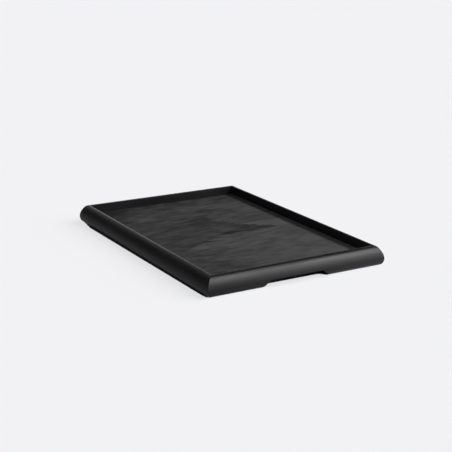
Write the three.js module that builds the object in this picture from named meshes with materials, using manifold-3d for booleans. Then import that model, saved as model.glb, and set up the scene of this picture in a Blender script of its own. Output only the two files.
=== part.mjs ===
// A low serving tray in black-stained teak: four mitred rails with a rounded outer face hold a
// veneered panel in a groove, and a finger recess is cut under each end rail.
// Millimetres, +Z up. X runs along the tray, and the origin is the middle of its footprint.
import * as THREE from "three";
import { mergeVertices } from "three/addons/utils/BufferGeometryUtils.js";
import Module from "manifold-3d";

// Overall size
const trayLength = 470;
const trayWidth = 330;
const trayHeight = 32;
const wellDepth = 15.5;

// Rail section: widths are measured outward from the inner wall, heights up from the table
const railThickness = 15;
const bulgeHeight = 11;
const footWidth = 8;
const topLand = 2.8;
const arrisRadius = 0.8;
// How far each curve's handles reach along its box: 0.55 draws a quarter ellipse, less is leaner
const shoulderFullness = 0.39;
const bellyFullness = 0.58;

// Panel: a core with a tongue all round, and a veneer on each face between the rails
const coreThickness = 3;
const veneerThickness = 0.6;
const grooveDepth = 5;

// Finger recess under each end rail
const recessWidth = 122;
const recessHeight = 10;
const recessEndRun = 14;
const recessEndSoftness = 6;
const recessMouthRadius = 2.2;
// Both recesses lie this far from the middle, towards the left side rail
const recessOffset = 5.5;

// Loose tenon across each mitre, below the groove
const tenonLength = 12;
const tenonThickness = 3;
const tenonHeight = 7;
const tenonInset = 4;
const tenonRise = 6.2;

// Clearances
const fitGap = 0.3;
const glueLine = 0.05;

// Fineness of the round stretches
const curveSegments = 12;

const innerLength = trayLength - 2 * railThickness;
const innerWidth = trayWidth - 2 * railThickness;
const panelTop = trayHeight - wellDepth;
const coreTop = panelTop - veneerThickness - glueLine;
const coreBottom = coreTop - coreThickness;
const grooveTop = coreTop + fitGap;
const grooveBottom = coreBottom - fitGap;
// Moving both rail ends back by this much along the rail opens the mitre by one clearance
const mitreSetback = fitGap / Math.SQRT2;

const railWood = new THREE.MeshStandardMaterial({ color: 0x232221, roughness: 0.42, metalness: 0 });
const panelWood = new THREE.MeshStandardMaterial({ color: 0x333231, roughness: 0.6, metalness: 0 });
const coreWood = new THREE.MeshStandardMaterial({ color: 0xc3a678, roughness: 0.75, metalness: 0 });
const tenonWood = new THREE.MeshStandardMaterial({ color: 0xc9a172, roughness: 0.7, metalness: 0 });

const wasm = await Module();
wasm.setup();

// A closed three.js geometry as a solid that can be cut
function toSolid(geometry) {
  const bare = geometry.clone();
  bare.deleteAttribute("normal");
  bare.deleteAttribute("uv");
  const merged = mergeVertices(bare);
  return new wasm.Manifold(
    new wasm.Mesh({
      numProp: 3,
      vertProperties: new Float32Array(merged.attributes.position.array),
      triVerts: new Uint32Array(merged.index.array),
    }),
  );
}

// A cut solid back as a three.js geometry
function toGeometry(solid) {
  const mesh = solid.getMesh();
  const geometry = new THREE.BufferGeometry();
  geometry.setAttribute("position", new THREE.BufferAttribute(mesh.vertProperties, mesh.numProp));
  geometry.setIndex(new THREE.BufferAttribute(mesh.triVerts, 1));
  geometry.computeVertexNormals();
  return geometry;
}

// Stand a shape up: its x stays, its y becomes height and it is extruded along -Y about the middle
function extrudeUpright(shape, length) {
  const geometry = new THREE.ExtrudeGeometry(shape, { depth: length, bevelEnabled: false, curveSegments });
  geometry.translate(0, 0, -length / 2);
  geometry.rotateX(Math.PI / 2);
  return geometry;
}

// Rail section: flat foot, round belly, leaner shoulder, narrow top land, inner wall with its groove
function railSection() {
  const bellyWidth = railThickness - footWidth;
  const shoulderWidth = railThickness - topLand;
  const shoulderHeight = trayHeight - bulgeHeight;
  const shape = new THREE.Shape();
  shape.moveTo(0, 0);
  shape.lineTo(footWidth, 0);
  shape.bezierCurveTo(
    footWidth + bellyFullness * bellyWidth,
    0,
    railThickness,
    bulgeHeight - bellyFullness * bulgeHeight,
    railThickness,
    bulgeHeight,
  );
  shape.bezierCurveTo(
    railThickness,
    bulgeHeight + shoulderFullness * shoulderHeight,
    topLand + shoulderFullness * shoulderWidth,
    trayHeight,
    topLand,
    trayHeight,
  );
  shape.lineTo(arrisRadius, trayHeight);
  shape.quadraticCurveTo(0, trayHeight, 0, trayHeight - arrisRadius);
  shape.lineTo(0, grooveTop);
  shape.lineTo(grooveDepth, grooveTop);
  shape.lineTo(grooveDepth, grooveBottom);
  shape.lineTo(0, grooveBottom);
  shape.closePath();
  return shape;
}

// A rail along Y whose inner wall is the plane x = 0, with both ends cut to the mitre
function mitredRail(innerSpan) {
  const geometry = extrudeUpright(railSection(), innerSpan);
  const position = geometry.attributes.position;
  for (let i = 0; i < position.count; i += 1) {
    const reach = innerSpan / 2 + position.getX(i) - mitreSetback;
    position.setY(i, Math.sign(position.getY(i)) * reach);
  }
  return geometry;
}

// Round-ended bar of the loose tenon, along Y with its wide face upright; the mortise adds a margin
function tenonBar(margin) {
  const radius = tenonThickness / 2 + margin;
  const straight = (tenonHeight - tenonThickness) / 2;
  const shape = new THREE.Shape();
  shape.absarc(0, straight, radius, 0, Math.PI);
  shape.absarc(0, -straight, radius, Math.PI, 2 * Math.PI);
  shape.closePath();
  return extrudeUpright(shape, tenonLength + 2 * margin);
}

// Mortise at one end of a rail; side is +1 or -1 along the rail
function mortise(innerSpan, side) {
  const geometry = tenonBar(fitGap);
  geometry.rotateZ((side * Math.PI) / 4);
  geometry.translate(tenonInset, side * (innerSpan / 2 + tenonInset), tenonRise);
  return geometry;
}

// Cutter for the finger recess: sloping ends that ease in and out, and a mouth rounded over at the
// outer face. The bevel is turned inside out, so that the outline grows towards its end.
function recessCutter(recessAt) {
  const halfWidth = recessWidth / 2;
  const halfCeiling = halfWidth - recessEndRun;
  const below = -2 * recessMouthRadius;
  const shape = new THREE.Shape();
  shape.moveTo(-halfWidth, below);
  shape.lineTo(halfWidth, below);
  shape.lineTo(halfWidth, 0);
  shape.bezierCurveTo(
    halfWidth - recessEndSoftness,
    0,
    halfCeiling + recessEndSoftness,
    recessHeight,
    halfCeiling,
    recessHeight,
  );
  shape.lineTo(-halfCeiling, recessHeight);
  shape.bezierCurveTo(
    -halfCeiling - recessEndSoftness,
    recessHeight,
    -halfWidth + recessEndSoftness,
    0,
    -halfWidth,
    0,
  );
  shape.closePath();
  const geometry = new THREE.ExtrudeGeometry(shape, {
    depth: railThickness,
    curveSegments,
    bevelThickness: recessMouthRadius,
    bevelSize: -recessMouthRadius,
    bevelOffset: recessMouthRadius,
    bevelSegments: 4,
  });
  // The outline's x runs along the rail, its y up, and the mouth ends on the rail's outermost line
  const alongUpOut = new THREE.Matrix4().makeBasis(
    new THREE.Vector3(0, 1, 0),
    new THREE.Vector3(0, 0, 1),
    new THREE.Vector3(1, 0, 0),
  );
  geometry.applyMatrix4(alongUpOut);
  geometry.translate(-recessMouthRadius, recessAt, 0);
  return geometry;
}

function railGeometry(innerSpan, recessAt) {
  let solid = toSolid(mitredRail(innerSpan));
  for (const side of [-1, 1]) {
    solid = solid.subtract(toSolid(mortise(innerSpan, side)));
  }
  if (recessAt !== undefined) {
    solid = solid.subtract(toSolid(recessCutter(recessAt)));
  }
  return toGeometry(solid);
}

const tray = new THREE.Group();

function addMesh(name, geometry, material) {
  const mesh = new THREE.Mesh(geometry, material);
  mesh.name = name;
  tray.add(mesh);
  return mesh;
}

// Rails: each faces outward along its own direction, a quarter turn from the last. recessAt is along
// the rail's own Y, which the half turn of the back rail reverses.
const rails = [
  {
    name: "end_rail_front",
    quarter: 0,
    innerSpan: innerWidth,
    wallAt: innerLength / 2,
    recessAt: -recessOffset,
  },
  { name: "side_rail_right", quarter: 1, innerSpan: innerLength, wallAt: innerWidth / 2 },
  {
    name: "end_rail_back",
    quarter: 2,
    innerSpan: innerWidth,
    wallAt: innerLength / 2,
    recessAt: recessOffset,
  },
  { name: "side_rail_left", quarter: 3, innerSpan: innerLength, wallAt: innerWidth / 2 },
];
for (const rail of rails) {
  const angle = (rail.quarter * Math.PI) / 2;
  const mesh = addMesh(rail.name, railGeometry(rail.innerSpan, rail.recessAt), railWood);
  mesh.rotation.z = angle;
  mesh.position.set(rail.wallAt * Math.cos(angle), rail.wallAt * Math.sin(angle), 0);
}

// Loose tenons, one square across each mitre
const corners = [
  { name: "tenon_front_right", x: 1, y: 1 },
  { name: "tenon_back_right", x: -1, y: 1 },
  { name: "tenon_back_left", x: -1, y: -1 },
  { name: "tenon_front_left", x: 1, y: -1 },
];
for (const corner of corners) {
  const mesh = addMesh(corner.name, tenonBar(0), tenonWood);
  mesh.rotation.z = Math.atan2(corner.y, corner.x);
  mesh.position.set(
    corner.x * (innerLength / 2 + tenonInset),
    corner.y * (innerWidth / 2 + tenonInset),
    tenonRise,
  );
}

// Panel layers, from the core out: the core's tongue fills the groove, the veneers stop at the walls
const tongue = grooveDepth - fitGap;
const core = addMesh(
  "panel_core",
  new THREE.BoxGeometry(innerLength + 2 * tongue, innerWidth + 2 * tongue, coreThickness),
  coreWood,
);
core.position.z = coreBottom + coreThickness / 2;

const layers = [
  { name: "face_veneer", bottom: panelTop - veneerThickness },
  { name: "backing_veneer", bottom: coreBottom - glueLine - veneerThickness },
];
for (const layer of layers) {
  const mesh = addMesh(
    layer.name,
    new THREE.BoxGeometry(innerLength - 2 * fitGap, innerWidth - 2 * fitGap, veneerThickness),
    panelWood,
  );
  mesh.position.z = layer.bottom + veneerThickness / 2;
}

export default tray;
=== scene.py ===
import math

import bpy
import numpy as np
from mathutils import Matrix, Vector


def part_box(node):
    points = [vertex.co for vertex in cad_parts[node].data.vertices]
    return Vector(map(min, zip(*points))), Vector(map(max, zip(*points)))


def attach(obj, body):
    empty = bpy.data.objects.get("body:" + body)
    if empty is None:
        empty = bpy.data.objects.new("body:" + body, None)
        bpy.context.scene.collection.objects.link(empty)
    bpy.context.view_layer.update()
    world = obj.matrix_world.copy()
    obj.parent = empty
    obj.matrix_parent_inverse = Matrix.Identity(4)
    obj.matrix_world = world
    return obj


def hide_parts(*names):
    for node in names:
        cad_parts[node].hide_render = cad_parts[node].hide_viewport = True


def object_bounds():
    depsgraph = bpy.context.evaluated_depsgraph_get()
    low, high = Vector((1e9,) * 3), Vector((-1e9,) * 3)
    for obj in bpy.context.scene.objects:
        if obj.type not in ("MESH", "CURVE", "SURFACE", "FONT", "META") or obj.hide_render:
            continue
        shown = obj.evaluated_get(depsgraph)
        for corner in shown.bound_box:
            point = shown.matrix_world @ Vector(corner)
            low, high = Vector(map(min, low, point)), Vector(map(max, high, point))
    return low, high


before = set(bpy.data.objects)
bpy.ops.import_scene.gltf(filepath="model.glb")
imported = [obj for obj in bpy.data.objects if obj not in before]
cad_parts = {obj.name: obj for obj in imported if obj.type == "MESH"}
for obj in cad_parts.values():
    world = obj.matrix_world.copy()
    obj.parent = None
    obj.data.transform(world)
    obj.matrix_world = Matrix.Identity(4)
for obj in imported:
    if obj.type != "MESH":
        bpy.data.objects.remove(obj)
cadBox = [list(corner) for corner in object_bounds()]
print("frame loaded:", len(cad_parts), "nodes")

# sizes that the frame gives, in metres; the tray's front is at +X and its left side at -Y
endLow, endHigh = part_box("end_rail_front")
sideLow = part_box("side_rail_right")[0]
coreLow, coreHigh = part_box("panel_core")
faceLow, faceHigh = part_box("face_veneer")
backLow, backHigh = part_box("backing_veneer")
wallX, wallY = endLow.x, sideLow.y  # inner walls
railThick = endHigh.x - endLow.x
railHigh = endHigh.z


# camera

cameraLook = {
    "imageSize": 452,  # pixels, square
    "focalPixels": 1071.5,
    "azimuth": 58.91,  # degrees round from the -Y side
    "elevation": 16.43,
    "roll": 0.70,
    "distance": 1.8465,
    "aimHeight": 0.020,  # the aim point is over the tray's middle
    "aimPixel": (222.95, 230.85),  # where the aim point lands in the image
    "sensor": 36.0,  # millimetres
    "nearest": 0.05,  # nothing nearer or further than these is drawn
    "furthest": 100.0,
}


def lookDirection(azimuth, elevation):
    # unit vector from the tray towards a place given by two angles in degrees
    a, e = math.radians(azimuth), math.radians(elevation)
    return Vector((math.sin(a) * math.cos(e), -math.cos(a) * math.cos(e), math.sin(e)))


def addCamera(look):
    # looks at the aim point along the two angles, turned by the roll about its own axis
    back = lookDirection(look["azimuth"], look["elevation"])
    right = (-back).cross(Vector((0, 0, 1))).normalized()
    up = right.cross(-back)
    r = math.radians(look["roll"])
    right, up = right * math.cos(r) + up * math.sin(r), up * math.cos(r) - right * math.sin(r)
    # slide the camera sideways and up until the aim point sits on its pixel
    offX = (look["aimPixel"][0] - look["imageSize"] / 2) / look["focalPixels"]
    offY = (look["aimPixel"][1] - look["imageSize"] / 2) / look["focalPixels"]
    place = Vector((0, 0, look["aimHeight"])) + (back - right * offX + up * offY) * look["distance"]
    data = bpy.data.cameras.new("photoCamera")
    data.sensor_width = look["sensor"]
    data.lens = look["focalPixels"] / look["imageSize"] * data.sensor_width
    data.clip_start, data.clip_end = look["nearest"], look["furthest"]
    cam = bpy.data.objects.new("photoCamera", data)
    turn = Matrix((right, up, back)).transposed()
    cam.matrix_world = Matrix.Translation(place) @ turn.to_4x4()
    bpy.context.scene.collection.objects.link(cam)
    bpy.context.scene.camera = cam


addCamera(cameraLook)
print("camera placed")


# node helpers for the stains

noiseMiddle = 0.5  # about where a noise stands
noiseRough = 0.55  # how strong each finer layer of a noise is beside the one before
mixSockets = {"factor": 0, "first": 6, "second": 7, "result": 2}  # of a Mix node for colours


def newMaterial(name):
    # a material, its nodes and its shader
    material = bpy.data.materials.new(name)
    material.use_nodes = True
    tree = material.node_tree
    return material, tree, tree.nodes["Principled BSDF"]


def addNode(tree, kind, inputs=None, **settings):
    # a node whose inputs are links or plain values
    node = tree.nodes.new(kind)
    for key, value in settings.items():
        setattr(node, key, value)
    for key, value in (inputs or {}).items():
        if isinstance(value, bpy.types.NodeSocket):
            tree.links.new(value, node.inputs[key])
        else:
            node.inputs[key].default_value = value
    return node


def calc(tree, operation, a, b, c=0.0):
    # one step of arithmetic on up to three numbers
    return addNode(tree, "ShaderNodeMath", {0: a, 1: b, 2: c}, operation=operation).outputs[0]


def onTray(tree):
    # a point's place on the tray, and the same by axis
    spot = addNode(tree, "ShaderNodeTexCoord").outputs["Object"]
    return spot, addNode(tree, "ShaderNodeSeparateXYZ", {0: spot}).outputs


def stretched(tree, source, scale, detail):
    # noise drawn out along the grain: scale is features per metre on each axis
    mapping = addNode(tree, "ShaderNodeMapping", {"Vector": source, "Scale": scale})
    drawn = {"Vector": mapping.outputs[0], "Scale": 1.0, "Detail": detail, "Roughness": noiseRough}
    return addNode(tree, "ShaderNodeTexNoise", drawn).outputs["Fac"]


def ramp(tree, value, low, high, toLow, toHigh, kind="SMOOTHSTEP"):
    # toLow below low, toHigh above high, and an eased step between
    node = addNode(
        tree, "ShaderNodeMapRange",
        {"Value": value, "From Min": low, "From Max": high, "To Min": toLow, "To Max": toHigh},
        interpolation_type=kind,
    )
    return node.outputs["Result"]


def mixed(tree, factor, first, second):
    # the first colour where the factor is 0, the second where it is 1
    inputs = {
        mixSockets["factor"]: factor,
        mixSockets["first"]: first,
        mixSockets["second"]: second,
    }
    return addNode(tree, "ShaderNodeMix", inputs, data_type="RGBA").outputs[mixSockets["result"]]


def stain(tree, shader, factor, look):
    # colour between the dark and the light one
    colour = mixed(tree, factor, (*look["dark"], 1), (*look["light"], 1))
    tree.links.new(colour, shader.inputs["Base Color"])


def openGrain(tree, shader, grain, pore, look):
    # height is a share of the grain less the pores
    height = calc(tree, "MULTIPLY", pore, -1.0)
    height = calc(tree, "MULTIPLY_ADD", grain, look["grainHeight"], height)
    relief = {"Height": height, "Strength": look["relief"], "Distance": look["poreDepth"]}
    bump = addNode(tree, "ShaderNodeBump", relief)
    tree.links.new(bump.outputs[0], shader.inputs["Normal"])


# rails in satin black stain, grain along each rail through its own UV map

railStain = {
    "dark": (0.0085, 0.0085, 0.0086),
    "light": (0.0150, 0.0149, 0.0149),
    "colourTones": (0.36, 0.64),  # tones at which the wood is dark and light
    "roughTones": (0.3, 0.7),  # and smooth and rough
    "roughLow": 0.33,
    "roughHigh": 0.43,
    "specular": 0.32,
    "streak": ((6.0, 420.0, 1.0), 4.0),  # noises: features per metre, and finer layers
    "cloud": ((9.0, 40.0, 1.0), 2.0),
    "pore": ((150.0, 2600.0, 1.0), 1.0),
    "streakShare": 0.5,  # of the tone, the cloud has the rest
    "dull": 0.038,  # how much rougher the front rail's left half is
    "dullFront": (0.212, 0.222),  # where the front rail begins, along X
    "dullLeft": (-0.05, 0.05),  # where its dull half ends, along Y
    "poreEdge": (0.56, 0.70),  # noise at which a pore begins and is open
    "poreDepth": 0.00012,
    "grainHeight": 0.35,
    "relief": 0.15,
}


def satinRailStain(look):
    # tone is half streak and half cloud, and sets colour and roughness; the left half of the front
    # rail is a little rougher than its tone makes it
    material, tree, shader = newMaterial("satinRailStain")
    shader.inputs["Specular IOR Level"].default_value = look["specular"]
    uv = addNode(tree, "ShaderNodeUVMap", uv_map="grain").outputs[0]
    streak = stretched(tree, uv, *look["streak"])
    cloud = stretched(tree, uv, *look["cloud"])
    pore = ramp(tree, stretched(tree, uv, *look["pore"]), *look["poreEdge"], 0.0, 1.0)
    tone = calc(tree, "MULTIPLY", streak, look["streakShare"])
    tone = calc(tree, "MULTIPLY_ADD", cloud, 1 - look["streakShare"], tone)
    stain(tree, shader, ramp(tree, tone, *look["colourTones"], 0.0, 1.0), look)
    rough = ramp(tree, tone, *look["roughTones"], look["roughLow"], look["roughHigh"])
    axis = onTray(tree)[1]
    front = ramp(tree, axis[0], *look["dullFront"], 0.0, 1.0)
    dull = ramp(tree, axis[1], *look["dullLeft"], look["dull"], 0.0)
    rough = calc(tree, "MULTIPLY_ADD", front, dull, rough)
    tree.links.new(rough, shader.inputs["Roughness"])
    openGrain(tree, shader, streak, pore, look)
    return material


# crown-cut veneer in the same stain, rougher, grain along Y

veneerStain = {
    "dark": (0.0130, 0.0130, 0.0131),
    "light": (0.0620, 0.0618, 0.0616),
    "roughTones": (0.2, 0.8),
    "roughLow": 0.55,
    "roughHigh": 0.68,
    "specular": 0.06,
    "fine": ((480.0, 24.0, 1.0), 3.0),  # noises: features per metre, and finer layers
    "streak": ((230.0, 22.0, 1.0), 3.0),
    "band": ((90.0, 30.0, 1.0), 2.0),
    "cloud": ((22.0, 14.0, 1.0), 2.0),
    "cross": ((40.0, 420.0, 1.0), 2.0),
    "pore": ((2400.0, 120.0, 1.0), 1.0),
    "weights": {"cloud": 0.7, "band": 0.9, "streak": 0.8, "fine": 1.1},
    "toneShift": -1.20,  # the four noises stand about 1.75 together, and come down to 0.55
    # painted light: the panel gets lighter along the grain towards its right side
    "rise": 0.50,  # tone per metre along the grain
    "crossFade": (0.005, 0.030, 0.0, 0.45),  # weak lines across the grain, in the front half alone
    "shakeX": 0.006,  # how far the figure is shaken by the grain, which makes its edges ragged
    "shakeY": 0.050,
    "poreEdge": (0.57, 0.70),
    "poreDepth": 0.00015,
    "grainHeight": 0.5,
    "relief": 0.45,
}
# steps in tone across the grain, the back and front ones painted shade beside the walls: where each
# begins and ends, and the tone it goes from and to
veneerSteps = {
    # painted shade: darker beside the back wall
    "shadeByBackWall": (-0.220, -0.160, -0.34, 0.0),
    "paleHalf": (0.005, 0.025, 0.0, 0.21),
    # painted shade: darker beside the front wall
    "shadeByFrontWall": (0.150, 0.220, 0.0, -0.05),
}
# the dark crown, with a top line that climbs towards the front, and the pale stripe over its tip
veneerFigure = {
    "crownBack": -0.113,
    "crownFront": 0.011,
    "crownFlare": 0.45,  # how much the front edge leans out towards the foot
    "crownValley": -0.091,  # where the top line is lowest, how low, and how far it climbs
    "crownLow": 0.021,
    "crownClimb": 0.094,
    "crownBend": 1.8,  # power that makes the climb steeper towards the tip
    "crownSlip": 0.5,  # slope of the top line behind its lowest place
    "crownEdge": (-0.001, 0.003),
    "crownNarrow": 2.2,  # how much narrower the dark rim is at the front edge than at the top line
    "crownRim": (0.0, 0.055, 1.4, 0.2),  # strength by depth under the rim
    "crownFade": (-0.125, -0.030, 0.25, 1.0),  # strength along the grain
    "crownTone": -0.28,
    "stripeBack": -0.0345,
    "stripeFront": 0.0115,
    "stripeLow": 0.055,
    "stripeEdge": 0.003,
    "stripeTone": 0.34,
}
# soft marks in the grain, and painted shade in the back left corner: place across and along it, half
# sizes, and how much lighter
veneerMarks = {
    "darkStreak": (-0.138, 0.045, 0.007, 0.034, -0.36),
    "crownLine": (-0.110, -0.035, 0.004, 0.080, -0.14),
    "crownHeart": (-0.049, -0.010, 0.008, 0.022, -0.14),
    "darkKnot": (0.012, -0.037, 0.009, 0.016, -0.22),
    "darkSliver": (0.034, -0.047, 0.006, 0.022, -0.26),
    "paleKnot": (0.055, -0.076, 0.014, 0.020, 0.40),
    "paleFlake": (-0.135, -0.079, 0.014, 0.032, 0.24),
    "paleSpeck": (-0.190, -0.055, 0.012, 0.018, 0.18),
    "paleBand": (-0.160, 0.040, 0.022, 0.130, 0.04),
    # painted shade: darker in the back left corner, between the two walls
    "shadeInBackLeftCorner": (-0.225, -0.155, 0.100, 0.110, -0.30),
    "darkFoot": (0.130, -0.140, 0.130, 0.140, -0.25),
    "darkRoot": (0.028, -0.090, 0.022, 0.050, -0.22),
    "paleCorner": (0.190, 0.100, 0.045, 0.080, 0.16),
}


def shaken(tree, place, noise, reach):
    # the place moved to and fro by the noise, less the noise's middle
    return calc(tree, "MULTIPLY_ADD", noise, reach, calc(tree, "SUBTRACT", place, reach * noiseMiddle))


def softMark(tree, x, y, mark):
    # an ellipse, full in the middle and fading by the square of the distance to its edge
    atX, atY, halfX, halfY, strength = mark
    u = calc(tree, "MULTIPLY_ADD", x, 1 / halfX, -atX / halfX)
    v = calc(tree, "MULTIPLY_ADD", y, 1 / halfY, -atY / halfY)
    far = calc(tree, "MULTIPLY_ADD", u, u, calc(tree, "MULTIPLY", v, v))
    return ramp(tree, far, 0.0, 1.0, strength, 0.0)


def darkCrown(tree, x, y, look):
    # how far a point lies inside the crown's top line and its two edges, the nearest one counting
    climb = ramp(tree, x, look["crownValley"], look["crownFront"], 0.0, 1.0, "LINEAR")
    climb = calc(tree, "POWER", climb, look["crownBend"])
    slip = calc(tree, "MAXIMUM", calc(tree, "SUBTRACT", look["crownValley"], x), 0.0)
    top = calc(tree, "MULTIPLY_ADD", slip, look["crownSlip"], look["crownLow"])
    top = calc(tree, "MULTIPLY_ADD", climb, look["crownClimb"], top)
    fromTop = calc(tree, "SUBTRACT", top, y)
    fall = calc(tree, "MAXIMUM", calc(tree, "MULTIPLY", y, -1.0), 0.0)
    front = calc(tree, "MULTIPLY_ADD", fall, look["crownFlare"], look["crownFront"])
    fromFront = calc(tree, "SUBTRACT", front, x)
    fromBack = calc(tree, "SUBTRACT", x, look["crownBack"])
    inside = calc(tree, "MINIMUM", fromTop, calc(tree, "MINIMUM", fromFront, fromBack))
    crown = ramp(tree, inside, *look["crownEdge"], 0.0, 1.0)
    # darkest under the top line and beside the front edge, and lost towards the foot
    depth = calc(tree, "MINIMUM", fromTop, calc(tree, "MULTIPLY", fromFront, look["crownNarrow"]))
    rim = ramp(tree, depth, *look["crownRim"])
    fade = ramp(tree, y, *look["crownFade"])
    return calc(tree, "MULTIPLY", crown, calc(tree, "MULTIPLY", rim, fade)), inside


def paleStripe(tree, x, y, insideCrown, look):
    # how far a point lies between the stripe's edges, over its low end and outside the crown
    inside = calc(tree, "SUBTRACT", x, look["stripeBack"])
    inside = calc(tree, "MINIMUM", inside, calc(tree, "SUBTRACT", look["stripeFront"], x))
    inside = calc(tree, "MINIMUM", inside, calc(tree, "SUBTRACT", y, look["stripeLow"]))
    inside = calc(tree, "MINIMUM", inside, calc(tree, "MULTIPLY", insideCrown, -1.0))
    return ramp(tree, inside, 0.0, look["stripeEdge"], 0.0, 1.0)


def crownVeneerStain(look, steps, figure, marks):
    # tone adds up four noises, a rise along the grain that is painted light, steps across it, two of
    # them painted shade, the crown, the stripe, weak lines across the grain and the marks, one of them
    # painted shade
    material, tree, shader = newMaterial("crownVeneerStain")
    shader.inputs["Specular IOR Level"].default_value = look["specular"]
    spot, axis = onTray(tree)
    noises = {name: stretched(tree, spot, *look[name]) for name in look["weights"]}
    pore = ramp(tree, stretched(tree, spot, *look["pore"]), *look["poreEdge"], 0.0, 1.0)
    x = shaken(tree, axis[0], noises["band"], look["shakeX"])
    y = shaken(tree, axis[1], noises["streak"], look["shakeY"])
    crown, insideCrown = darkCrown(tree, x, y, figure)
    stripe = paleStripe(tree, x, y, insideCrown, figure)
    cross = calc(tree, "SUBTRACT", stretched(tree, spot, *look["cross"]), noiseMiddle)
    tone = look["toneShift"]
    for name, weight in look["weights"].items():
        tone = calc(tree, "MULTIPLY_ADD", noises[name], weight, tone)
    # painted light: lighter towards the panel's right side
    tone = calc(tree, "MULTIPLY_ADD", axis[1], look["rise"], tone)
    for step in steps.values():
        tone = calc(tree, "ADD", tone, ramp(tree, x, *step))
    tone = calc(tree, "MULTIPLY_ADD", crown, figure["crownTone"], tone)
    tone = calc(tree, "MULTIPLY_ADD", stripe, figure["stripeTone"], tone)
    tone = calc(tree, "MULTIPLY_ADD", cross, ramp(tree, x, *look["crossFade"]), tone)
    for mark in marks.values():
        tone = calc(tree, "ADD", tone, softMark(tree, x, y, mark))
    stain(tree, shader, ramp(tree, tone, 0.0, 1.0, 0.0, 1.0, "LINEAR"), look)
    rough = ramp(tree, tone, *look["roughTones"], look["roughLow"], look["roughHigh"])
    tree.links.new(rough, shader.inputs["Roughness"])
    openGrain(tree, shader, noises["fine"], pore, look)
    return material


# raw wood of the hidden pieces, grain along X

rawWood = {
    "dark": (0.40, 0.25, 0.12),
    "light": (0.62, 0.44, 0.24),
    "colourTones": (0.3, 0.7),
    "rough": 0.7,
    "streak": ((9.0, 500.0, 500.0), 4.0),
}


def pieceOfRawWood(look):
    # streaks between two colours
    material, tree, shader = newMaterial("rawWood")
    streak = stretched(tree, onTray(tree)[0], *look["streak"])
    stain(tree, shader, ramp(tree, streak, *look["colourTones"], 0.0, 1.0), look)
    shader.inputs["Roughness"].default_value = look["rough"]
    return material


railMaterial = satinRailStain(railStain)
veneerMaterial = crownVeneerStain(veneerStain, veneerSteps, veneerFigure, veneerMarks)
rawMaterial = pieceOfRawWood(rawWood)
print("stains mixed")


# rails: one rounded section carried along each side and mitred at both ends

railShape = {
    "foot": 0.008,  # flat under the rail
    "footRound": 0.0005,
    "bulge": 0.011,  # height of the widest line
    "crest": 0.0028,  # where the shoulder starts, out from the inner wall
    "crestRound": 0.0008,
    "bellyFull": 0.58,  # how far the curve handles reach
    "shoulderFull": 0.39,
    "groove": 0.005,
    "grooveGap": 0.0003,
    "mitreGap": 0.00003,
    "footSteps": 5,  # points on each curve of the section
    "bellySteps": 30,
    "shoulderSteps": 44,
    "crestSteps": 12,
    "plainSteps": 61,  # sections from end to end, more of them in a rail with a recess
    "recessSteps": 281,
    "sharpAngle": 32,  # degrees, edges that turn more stay sharp
    "grainShift": (1.7, 0.31),  # along and around, from rail to rail, so that no two are alike
}
recessShape = {
    "middle": -0.0055,  # both recesses lie a little towards the left side
    "halfWidth": 0.062,
    "run": 0.014,  # length of each sloping end
    "high": 0.010,
    "mouth": 0.0022,  # radius of the rounded mouth at the outer face
    "mouthGrowth": 3,  # the mouth is fully round a third of the way along a sloping end
}


def bezier(p0, p1, p2, p3, count):
    # cubic curve: the four points weighted by the Bernstein polynomials
    t = np.linspace(0, 1, count)[:, None]
    p0, p1, p2, p3 = (np.array(p, float) for p in (p0, p1, p2, p3))
    return (1 - t) ** 3 * p0 + 3 * (1 - t) ** 2 * t * p1 + 3 * (1 - t) * t ** 2 * p2 + t ** 3 * p3


def arc(cx, cy, radius, start, stop, count):
    # points on a circle between two angles in degrees
    a = np.radians(np.linspace(start, stop, count))
    return np.stack([cx + radius * np.cos(a), cy + radius * np.sin(a)], 1)


def railSection(shape):
    # closed outline, out from the inner wall and up: foot, belly, shoulder, crest, wall and groove
    foot, bulge, crest = shape["foot"], shape["bulge"], shape["crest"]
    wide, high = railThick, railHigh
    bellyFull, shoulderFull = shape["bellyFull"], shape["shoulderFull"]
    footRound, crestRound = shape["footRound"], shape["crestRound"]
    top, bottom = coreHigh.z + shape["grooveGap"], coreLow.z - shape["grooveGap"]
    belly = bezier(
        (foot, 0),
        (foot + bellyFull * (wide - foot), 0),
        (wide, bulge * (1 - bellyFull)),
        (wide, bulge),
        shape["bellySteps"],
    )
    shoulder = bezier(
        (wide, bulge),
        (wide, bulge + shoulderFull * (high - bulge)),
        (crest + shoulderFull * (wide - crest), high),
        (crest, high),
        shape["shoulderSteps"],
    )
    return np.concatenate([
        arc(footRound, footRound, footRound, 180, 270, shape["footSteps"]),
        belly,
        shoulder[1:],
        arc(crestRound, high - crestRound, crestRound, 90, 180, shape["crestSteps"]),
        [(0, top), (shape["groove"], top), (shape["groove"], bottom), (0, bottom)],
    ])


def liftOverRecess(along, out, up, shape):
    # inside the recess everything below its ceiling is raised to it; the ceiling eases up from both
    # ends by 3 q squared less 2 q cubed, and near the outer face it curls up along a quarter circle
    q = np.clip((shape["halfWidth"] - np.abs(along)) / shape["run"], 0, 1)
    ceiling = shape["high"] * q * q * (3 - 2 * q)
    radius = shape["mouth"]
    reach = np.clip(out - (railThick - radius), 0, radius)
    curl = (radius - np.sqrt(radius ** 2 - reach ** 2)) * np.minimum(shape["mouthGrowth"] * q, 1)
    return np.where(q > 0, np.maximum(up, ceiling + curl), up)


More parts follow.
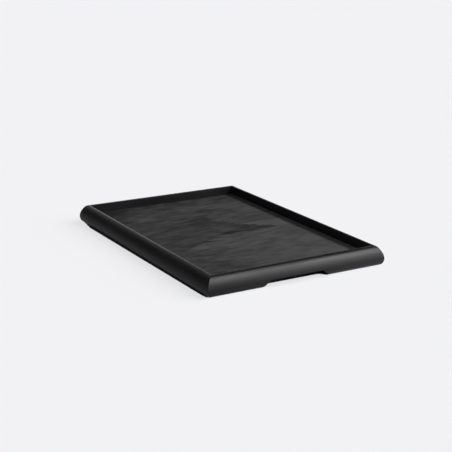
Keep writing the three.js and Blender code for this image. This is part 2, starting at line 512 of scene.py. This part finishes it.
def addMesh(name, points, faces, material, sharpAngle=None, grainUv=None):
    # a smooth piece, with the grain's UV map where there is one
    mesh = bpy.data.meshes.new(name)
    mesh.from_pydata(points.reshape(-1, 3).tolist(), [], faces)
    mesh.polygons.foreach_set("use_smooth", np.ones(len(mesh.polygons), bool))
    if grainUv is not None:
        corner = np.zeros(len(mesh.loops), np.int32)
        mesh.loops.foreach_get("vertex_index", corner)
        layer = mesh.uv_layers.new(name="grain")
        layer.data.foreach_set("uv", grainUv.reshape(-1, 2)[corner].astype(np.float32).ravel())
    if sharpAngle is not None:
        mesh.set_sharp_from_angle(angle=math.radians(sharpAngle))
    mesh.materials.append(material)
    mesh.update()
    piece = bpy.data.objects.new(name, mesh)
    bpy.context.scene.collection.objects.link(piece)
    return piece


def gridFaces(rows, columns):
    # quads of a grid that closes on itself along its columns, and a cap at each end of its rows
    i, j = np.meshgrid(np.arange(rows - 1), np.arange(columns), indexing="ij")
    k = (j + 1) % columns
    quads = np.stack([i * columns + j, i * columns + k, (i + 1) * columns + k, (i + 1) * columns + j], -1)
    first = list(range(columns))[::-1]
    last = list(range((rows - 1) * columns, rows * columns))
    return quads.reshape(-1, 4).tolist() + [first, last]


def makeRail(name, node, quarter, wallAt, halfSpan, shape, recess=None):
    # the section drawn from end to end; a line further out reaches further, which makes the mitre
    section = railSection(shape)
    out, up = section[:, 0], section[:, 1]
    t = np.linspace(-1, 1, shape["recessSteps"] if recess else shape["plainSteps"])[:, None]
    along = t * (halfSpan + out - shape["mitreGap"])
    across = np.broadcast_to(wallAt + out, along.shape)
    turn = quarter * math.pi / 2
    c, s = round(math.cos(turn)), round(math.sin(turn))
    x, y = c * across + s * along, s * across - c * along
    height = np.broadcast_to(up, along.shape)
    if recess:
        height = liftOverRecess(y - recess["middle"], out, height, recess)
    points = np.stack([x, y, height], -1)
    # the grain runs along the rail and is wrapped around its section
    shiftAlong, shiftAround = shape["grainShift"]
    around = np.concatenate([[0], np.cumsum(np.hypot(*np.diff(section, axis=0).T))])
    around = np.broadcast_to(around + shiftAround * quarter, along.shape)
    uv = np.stack([along + shiftAlong * quarter, around], -1)
    piece = addMesh(name, points, gridFaces(*along.shape), railMaterial, shape["sharpAngle"], uv)
    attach(piece, "root")
    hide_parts(node)
    return piece


rails = [
    makeRail("endRailFront", "end_rail_front", 0, wallX, wallY, railShape, recessShape),
    makeRail("sideRailRight", "side_rail_right", 1, wallY, wallX, railShape),
    makeRail("endRailBack", "end_rail_back", 2, wallX, wallY, railShape, recessShape),
    makeRail("sideRailLeft", "side_rail_left", 3, wallY, wallX, railShape),
]
print("rails swept")


# panel faces: thin sheets with an eased edge, close up to the walls

sheetShape = {"gap": 0.0001, "ease": 0.00025, "easeSteps": 5, "sharpAngle": 50}


def makeSheet(name, node, low, high, faceUp, shape):
    # the wall outline carried along a quarter round that ends on the flat face
    a = np.radians(np.linspace(0, 90, shape["easeSteps"]))
    inset = np.concatenate([[0], shape["ease"] * (1 - np.cos(a))])
    rise = np.concatenate([[0], (high - low) - shape["ease"] * (1 - np.sin(a))])
    z = low + rise if faceUp else high - rise
    corners = np.array([(1, 1), (-1, 1), (-1, -1), (1, -1)], float)[:: 1 if faceUp else -1]
    half = np.array([wallX, wallY]) - shape["gap"]
    flat = corners[None] * (half - inset[:, None])[:, None]
    points = np.concatenate([flat, np.broadcast_to(z[:, None, None], (*flat.shape[:2], 1))], -1)
    piece = addMesh(name, points, gridFaces(*flat.shape[:2]), veneerMaterial, shape["sharpAngle"])
    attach(piece, "root")
    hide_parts(node)
    return piece


sheets = [
    makeSheet("faceVeneer", "face_veneer", faceLow.z, faceHigh.z, True, sheetShape),
    makeSheet("backingVeneer", "backing_veneer", backLow.z, backHigh.z, False, sheetShape),
]
print("panel laid")


# hidden pieces keep their solids and get raw wood

hiddenPieces = [
    "panel_core",
    "tenon_front_right",
    "tenon_back_right",
    "tenon_back_left",
    "tenon_front_left",
]
for hidden in hiddenPieces:
    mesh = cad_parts[hidden].data
    mesh.materials.clear()
    mesh.materials.append(rawMaterial)
print("hidden pieces dressed")


# studio: a pale paper floor with dark cards on it, in a dim room, and separate lamps for the floor,
# the rails and the panel

studio = {
    "paper": (0.9165, 0.9165, 0.934),
    # painted shade: to other rays the floor is darker on the tray's left than on its right
    "shadedBounceLeft": 0.31,  # what the tray sees of the floor, from its left side to its right
    "bounceRight": 0.66,
    "bounceAcross": (-0.22, 0.14),  # where that change begins and ends, along Y
    "room": 0.033,
    "backdrop": 0.96,
    "floorSize": 30.0,
    "floorDrop": 0.0001,  # under the rails' feet
}


def gather(name, pieces):
    # a collection that a lamp can be kept to
    group = bpy.data.collections.new(name)
    for piece in pieces:
        group.objects.link(piece)
    return group


def paperFloor(look):
    # the camera sees plain paper, other rays a grey that rises from the tray's left to its right, which
    # is painted shade on the floor at the tray's left
    material, tree, shader = newMaterial("paperFloor")
    tree.nodes.remove(shader)
    ray = addNode(tree, "ShaderNodeLightPath")
    across = onTray(tree)[1][1]
    # painted shade on the floor: darker to other rays on the tray's left
    shadedBounce = ramp(tree, across, *look["bounceAcross"], look["shadedBounceLeft"], look["bounceRight"])
    tone = mixed(tree, ray.outputs["Is Camera Ray"], shadedBounce, (*look["paper"], 1))
    paper = addNode(tree, "ShaderNodeBsdfDiffuse", {"Color": tone})
    tree.links.new(paper.outputs[0], tree.nodes["Material Output"].inputs["Surface"])
    half = look["floorSize"] / 2
    sheet = np.array([(-half, -half), (half, -half), (half, half), (-half, half)])
    points = np.concatenate([sheet, np.full((4, 1), cadBox[0][2] - look["floorDrop"])], 1)
    floor = addMesh("paperFloor", points, [(0, 1, 2, 3)], material)
    return floor


# dark cards flat on the floor that the camera doesn't see: two stop the lamps, along the left rail
# and at the recess's right end, and the third keeps the floor's light out of the recess
floorCards = {
    "leftFoot": {
        "stopsLamps": True,
        "corners": [
            (-0.234, -0.150),
            (-0.234, -0.1588),
            (-0.210, -0.1622),
            (-0.188, -0.1658),
            (0.215, -0.1641),
            (0.226, -0.1625),
            (0.226, -0.150),
        ],
    },
    "recessEnd": {
        "stopsLamps": True,
        "corners": [
            (0.205, 0.030),
            (0.213, 0.030),
            (0.2205, 0.048),
            (0.228, 0.0545),
            (0.228, 0.066),
            (0.205, 0.066),
        ],
    },
    "recessFloor": {
        "stopsLamps": False,
        "corners": [(0.213, -0.060), (0.236, -0.060), (0.236, 0.057), (0.213, 0.057)],
    },
}


def floorCard(name, look, drop):
    # a flat outline at the given drop under the rails' feet
    points = np.array([(x, y, cadBox[0][2] - drop) for x, y in look["corners"]])
    card = addMesh(name, points, [tuple(range(len(points)))], railMaterial)
    card.visible_camera = False
    card.visible_shadow = look["stopsLamps"]
    card.visible_diffuse = not look["stopsLamps"]
    card.visible_glossy = not look["stopsLamps"]
    return card


# where each lamp stands and how wide it is, in degrees, its power, and what it shines on
lamps = {
    "wash": {"azimuth": 98, "elevation": 82.5, "angle": 2.5, "power": 2.45, "on": "floor", "stop": "shade"},
    "soft": {"azimuth": 150, "elevation": 35, "angle": 50, "power": 0.9, "on": "floor"},
    "key": {"azimuth": 130, "elevation": 38, "angle": 26, "power": 1.85, "on": "rails"},
    "low": {"azimuth": 141, "elevation": 10, "angle": 26, "power": 0.7, "on": "rails"},
    "front": {"azimuth": 60, "elevation": 28, "angle": 18, "power": 0.55, "on": "rails"},
    "back": {"azimuth": 215, "elevation": 10, "angle": 18, "power": 1.0, "on": "rails"},
    "edge": {"azimuth": 248, "elevation": 10, "angle": 20, "power": 0.11, "on": "rails"},
    "side": {"azimuth": 265, "elevation": 25, "angle": 46, "power": 0.24, "on": "rails"},
    "well": {"azimuth": 160, "elevation": 43, "angle": 20, "power": 3.9, "on": "sheets"},
    "fill": {"azimuth": 25, "elevation": 50, "angle": 40, "power": 1.1, "on": "sheets"},
}


def addLamp(name, look, groups):
    # a far lamp as wide as its angle, kept to one group of pieces
    data = bpy.data.lights.new(name, "SUN")
    data.energy, data.angle = look["power"], math.radians(look["angle"])
    lamp = bpy.data.objects.new(name, data)
    towards = lookDirection(look["azimuth"], look["elevation"])
    lamp.rotation_euler = towards.to_track_quat("Z", "Y").to_euler()
    bpy.context.scene.collection.objects.link(lamp)
    lamp.light_linking.receiver_collection = groups[look["on"]]
    if "stop" in look:
        lamp.light_linking.blocker_collection = groups[look["stop"]]


def dimRoom(look):
    # the camera sees the backdrop, other rays a faint even light
    world = bpy.data.worlds.new("room")
    world.use_nodes = True
    tree = world.node_tree
    ray = addNode(tree, "ShaderNodeLightPath")
    strength = ramp(tree, ray.outputs["Is Camera Ray"], 0.0, 1.0, look["room"], look["backdrop"])
    tree.nodes["Background"].inputs["Color"].default_value = (*look["paper"], 1)
    tree.links.new(strength, tree.nodes["Background"].inputs["Strength"])
    bpy.context.scene.world = world


# the cards lie halfway between the floor and the rails' feet
cardDrop = studio["floorDrop"] / 2
cards = {name: floorCard(name, look, cardDrop) for name, look in floorCards.items()}
# the wash is stopped by the panel and two cards alone, so that the floor is bright in the finger
# recess and dark along the left rail
lampGroups = {
    "rails": gather("rails", rails),
    "sheets": gather("sheets", sheets),
    "shade": gather("shade", [cards["leftFoot"], cards["recessEnd"], *sheets]),
    "floor": gather("floor", [paperFloor(studio)]),
}
dimRoom(studio)
for name, look in lamps.items():
    addLamp(name, look, lampGroups)
bpy.context.scene.view_settings.view_transform = "Standard"
print("studio lit")
